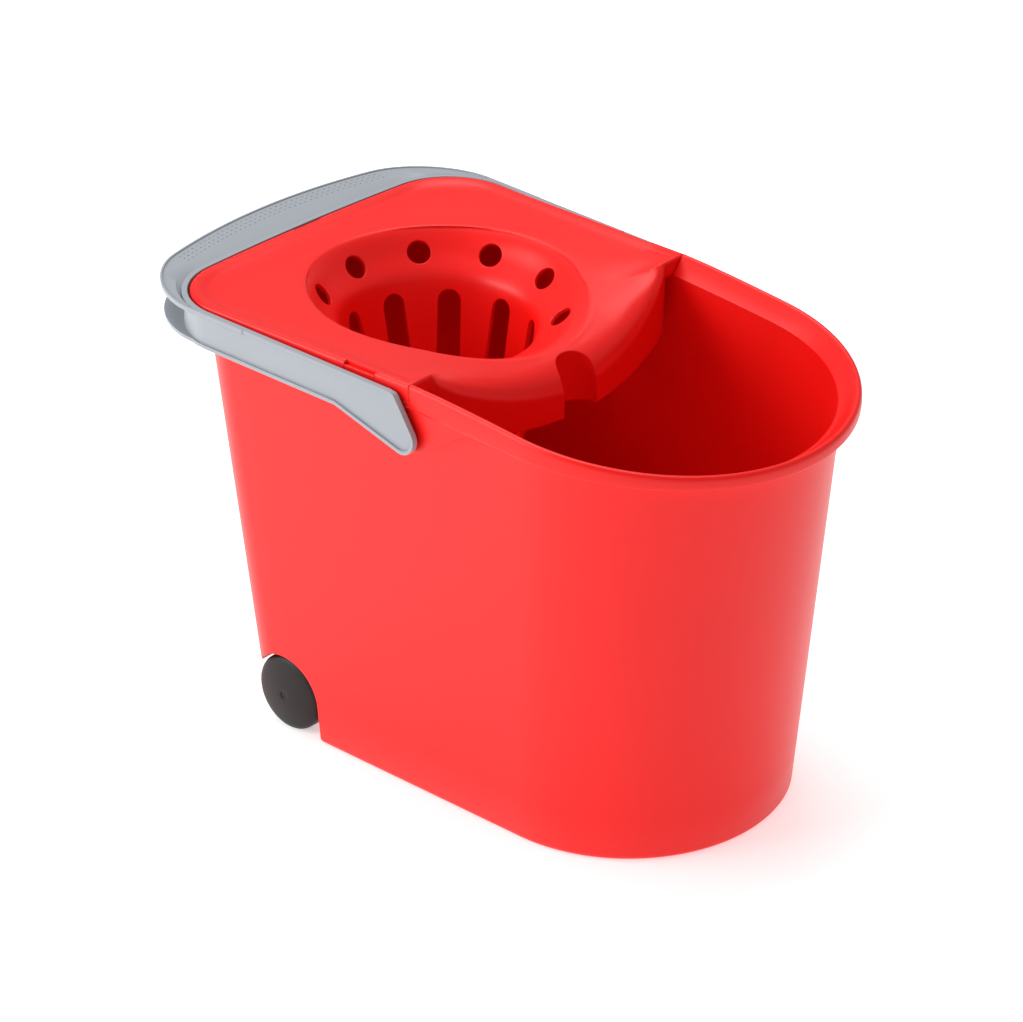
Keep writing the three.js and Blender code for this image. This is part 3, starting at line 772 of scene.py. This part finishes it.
def lean(item):
    """Tips the handle about its pins, rear end up, from the level it is drawn at."""
    for vertex in item.data.vertices:
        x, y, z = vertex.co / MM
        x -= PIVOT[0]
        z -= PIVOT[2]
        vertex.co = Vector((
            PIVOT[0] + x * math.cos(HANDLE_LEAN) + z * math.sin(HANDLE_LEAN), y,
            PIVOT[2] + z * math.cos(HANDLE_LEAN) - x * math.sin(HANDLE_LEAN))) * MM
    return item


def between_rim_and_grip(share):
    """An outline part of the way from the rim, less the arm's gap, to the grip's edge."""
    near = dict(RIM)
    near["rear"] -= ARM_GAP
    for key in ("corner", "half_rear", "half_nose", "front"):
        near[key] += ARM_GAP
    return outline(blend_plans(near, GRIP, share), 0)


def slope_dish(name, top):
    """The space over the grip's sloping inner band and above."""
    low = [(x, y, top - GRIP_SLOPE_DROP) for x, y in between_rim_and_grip(0)]
    crease = between_rim_and_grip(GRIP_SLOPE_SHARE)
    upper = [[(x, y, z) for x, y in crease] for z in (top, top + 30)]
    return loft(name, [low] + upper)


def behind_arms(bottom):
    return slab("rear_only", -PAST_X, PLATE_FRONT_X, -PAST_HANDLE_Y, PAST_HANDLE_Y,
                bottom, ARM_TOP + 1)


def grip_plate(inner, bottom):
    """The grip's top: a flat dotted outer part and an inner band that slopes to the deck."""
    top = ARM_TOP - GRIP_RECESS
    low = top - GRIP_SLOPE_DROP - HANDLE_FLANGE
    plate = bent_band("top_plate", outline(GRIP, 0), inner, low, top)
    cut(plate, slope_dish("dish", top))
    under = prism("under", outline(GRIP, -1), low - 1, top - HANDLE_FLANGE)
    cut(under, slope_dish("under_dish", top - HANDLE_FLANGE))
    cut(plate, under)
    edge = bent_band("edge", outline(GRIP, 0), outline(GRIP, GRIP_EDGE),
                     top - HANDLE_FLANGE, ARM_TOP)
    join(plate, edge)
    return keep(plate, behind_arms(bottom))


def handle():
    bottom = PIVOT[2] - ARM_TIP_RADIUS - 1
    inner = outline(RIM, -ARM_GAP)
    border = side_profile("border", handle_side(0), -PAST_HANDLE_Y, PAST_HANDLE_Y)
    cut(border, side_profile("border_inside", handle_side(HANDLE_FLANGE),
                             -PAST_HANDLE_Y - 1, PAST_HANDLE_Y + 1))
    web = bent_band("handle_detailed", outline(RIM, -ARM_GAP - HANDLE_WEB), inner, bottom, ARM_TOP)
    keep(web, side_profile("web_side", handle_side(0), -PAST_HANDLE_Y, PAST_HANDLE_Y))
    edging = bent_band("edging", outline(RIM, -ARM_GAP - ARM_DEPTH), inner, bottom, ARM_TOP)
    join(web, keep(edging, border))
    join(web, grip_plate(inner, bottom))
    plate = bent_band("low_plate", outline(GRIP, 2), inner, ARM_BOTTOM, ARM_BOTTOM + HANDLE_FLANGE)
    join(web, keep(plate, behind_arms(bottom)))
    join(web, cross_pins("pins", PIN_RADIUS, PIN_END_Y, PIN_ROOT_Y))
    return smooth(lean(web))


# ---- Wheels and axle -------------------------------------------------------------------
def wheel(name, side):
    hub_y = WHEEL_LOW.y
    r = WHEEL_RADIUS
    profile = [
        (0, 12), (3.3, 12), (3.3, 9.4), (2.9, 9.2), (2.9, 8.8), (3.3, 8.6), (3.3, 0.2), (3.5, 0),
        (6.3, 0), (6.5, 0.2), (6.5, 9.8), (7.2, 10.5), (20.7, 10.5), (21.4, 9.8), (21.4, 1.3),
        (21.7, 1), (23.2, 1),
        (23.7, 1.25), (r, 1.8), (r, 12.2), (r - 0.12, 12.9), (r - 0.45, 13.7), (r - 1.0, 14.5),
        (r - 1.8, 15.15), (r - 2.9, 15.7), (20, 16.15), (17, 16.9), (13, 17.7), (9, 18.3),
        (5, 18.65),
        (2.6, 18.75), (2.4, 18.7), (2.2, 18.3), (1.9, 18.2), (1.2, 18.25), (0, 18.3),
    ]
    return smooth(turned(name, profile, (WHEEL_X, side * hub_y, WHEEL_Z), side))


def axle():
    end = AXLE_HIGH.y
    groove = (WHEEL_LOW.y + 8.1, WHEEL_LOW.y + 9.9)
    half = [(3, 0), (3, groove[0]), (2.5, groove[0] + 0.2), (2.5, groove[1] - 0.2), (3, groove[1]),
            (3, end - 0.8), (2.8, end - 0.4), (2.2, end), (0, end)]
    mirrored = [(radius, -along) for radius, along in reversed(half[1:])]
    return smooth(turned("axle_detailed", mirrored + half, (WHEEL_X, 0, WHEEL_Z), 1, 48))


# ---- Materials ---------------------------------------------------------------------------
def node(tree, kind, **settings):
    item = tree.nodes.new(kind)
    for key, value in settings.items():
        setattr(item, key, value)
    return item


def plastic(name, colour, variation, roughness, edge_radius, grain, specular=0.5, metallic=0.0):
    """Moulded plastic: faint flow marks in the colour, fine surface grain and softened edges."""
    material = bpy.data.materials.new(name)
    material.use_nodes = True
    tree = material.node_tree
    shader = tree.nodes["Principled BSDF"]
    shader.inputs["Metallic"].default_value = metallic
    shader.inputs["Specular IOR Level"].default_value = specular
    place = node(tree, "ShaderNodeTexCoord")
    flow = node(tree, "ShaderNodeTexNoise")
    flow.inputs["Scale"].default_value = 9.0
    flow.inputs["Detail"].default_value = 3.0
    tree.links.new(place.outputs["Object"], flow.inputs["Vector"])
    ramp = node(tree, "ShaderNodeValToRGB")
    ramp.color_ramp.elements[0].position = 0.3
    ramp.color_ramp.elements[1].position = 0.7
    ramp.color_ramp.elements[0].color = tuple(c * (1 - variation) for c in colour) + (1,)
    ramp.color_ramp.elements[1].color = tuple(min(1, c * (1 + variation)) for c in colour) + (1,)
    tree.links.new(flow.outputs["Fac"], ramp.inputs["Fac"])
    tree.links.new(ramp.outputs["Color"], shader.inputs["Base Color"])
    fine = node(tree, "ShaderNodeTexNoise")
    fine.inputs["Scale"].default_value = 700.0
    fine.inputs["Detail"].default_value = 2.0
    tree.links.new(place.outputs["Object"], fine.inputs["Vector"])
    spread = node(tree, "ShaderNodeMapRange")
    spread.inputs["To Min"].default_value = roughness - 0.03
    spread.inputs["To Max"].default_value = roughness + 0.03
    tree.links.new(fine.outputs["Fac"], spread.inputs["Value"])
    tree.links.new(spread.outputs["Result"], shader.inputs["Roughness"])
    soft = node(tree, "ShaderNodeBevel", samples=6)
    soft.inputs["Radius"].default_value = edge_radius * MM
    bump = node(tree, "ShaderNodeBump")
    bump.inputs["Strength"].default_value = grain
    bump.inputs["Distance"].default_value = 0.0002
    tree.links.new(fine.outputs["Fac"], bump.inputs["Height"])
    tree.links.new(soft.outputs["Normal"], bump.inputs["Normal"])
    tree.links.new(bump.outputs["Normal"], shader.inputs["Normal"])
    return material


def dress(item, body, material, slot, *nodes):
    item.data.materials.clear()
    item.data.materials.append(material)
    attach(item, body)
    if nodes:
        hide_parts(*nodes)


red = plastic("red_plastic", (0.92, 0.006, 0.004), variation=0.03, roughness=0.36,
              edge_radius=1.0, grain=0.05, specular=0.35)
grey = plastic("grey_plastic", (0.33, 0.355, 0.39), variation=0.015, roughness=0.38,
               edge_radius=0.6, grain=0.06)
black = plastic("black_plastic", (0.012, 0.008, 0.008), variation=0.1, roughness=0.45,
                edge_radius=0.6, grain=0.08, specular=0.3)
steel = plastic("steel", (0.55, 0.56, 0.58), variation=0.05, roughness=0.28,
                edge_radius=0.2, grain=0.1, metallic=1.0)

dress(bucket_body(), "bucket", red, "red_plastic", "bucket_body")
dress(wringer(), "wringer", red, "red_plastic", "wringer")
dress(handle(), "handle", grey, "grey_plastic", "handle")
dress(grip_dots(), "handle", grey, "grey_plastic")
dress(axle(), "bucket", steel, "steel", "axle")
dress(wheel("left_wheel_detailed", 1), "left_wheel", black, "black_plastic", "left_wheel")
dress(wheel("right_wheel_detailed", -1), "right_wheel", black, "black_plastic", "right_wheel")


# ---- Studio --------------------------------------------------------------------------
def studio_floor():
    work = bmesh.new()
    bmesh.ops.create_grid(work, x_segments=8, y_segments=8, size=12)
    mesh = bpy.data.meshes.new("studio_floor")
    work.to_mesh(mesh)
    work.free()
    item = bpy.data.objects.new("studio_floor", mesh)
    bpy.context.scene.collection.objects.link(item)
    material = bpy.data.materials.new("studio_white")
    material.use_nodes = True
    shader = material.node_tree.nodes["Principled BSDF"]
    shader.inputs["Base Color"].default_value = (0.9, 0.9, 0.9, 1)
    shader.inputs["Roughness"].default_value = 0.9
    shader.inputs["Emission Color"].default_value = (1, 1, 1, 1)
    shader.inputs["Emission Strength"].default_value = 0.5
    item.data.materials.append(material)


def area_light(name, place, aim, size, power):
    data = bpy.data.lights.new(name, "AREA")
    data.shape = "RECTANGLE"
    data.size, data.size_y = size
    data.energy = power
    item = bpy.data.objects.new(name, data)
    item.location = place
    item.rotation_mode = "QUATERNION"
    item.rotation_quaternion = (Vector(aim) - Vector(place)).to_track_quat("-Z", "Y")
    bpy.context.scene.collection.objects.link(item)


def studio():
    studio_floor()
    world = bpy.data.worlds.new("studio")
    world.use_nodes = True
    background = world.node_tree.nodes["Background"]
    background.inputs["Color"].default_value = (1, 1, 1, 1)
    background.inputs["Strength"].default_value = 0.4
    bpy.context.scene.world = world
    bpy.context.scene.view_settings.view_transform = "Standard"
    area_light("key", (-1.4, -1.8, 1.1), (0, 0, 0.15), (1.8, 1.4), 40)
    area_light("top", (-0.6, 0.3, 2.2), (0, 0, 0.1), (1.6, 1.6), 30)


def camera():
    azimuth, elevation = math.radians(42.1), math.radians(28.2)
    level = math.cos(elevation)
    back = Vector((math.sin(azimuth) * level, -math.cos(azimuth) * level, math.sin(elevation)))
    data = bpy.data.cameras.new("camera")
    data.sensor_width = 36
    data.lens = 133.7
    data.clip_end = 50
    item = bpy.data.objects.new("camera", data)
    item.location = Vector((-0.0437, 0.0374, 0.1122)) + back * 2.2595
    item.rotation_mode = "QUATERNION"
    item.rotation_quaternion = (-back).to_track_quat("-Z", "Y")
    bpy.context.scene.collection.objects.link(item)
    bpy.context.scene.camera = item


studio()
camera()
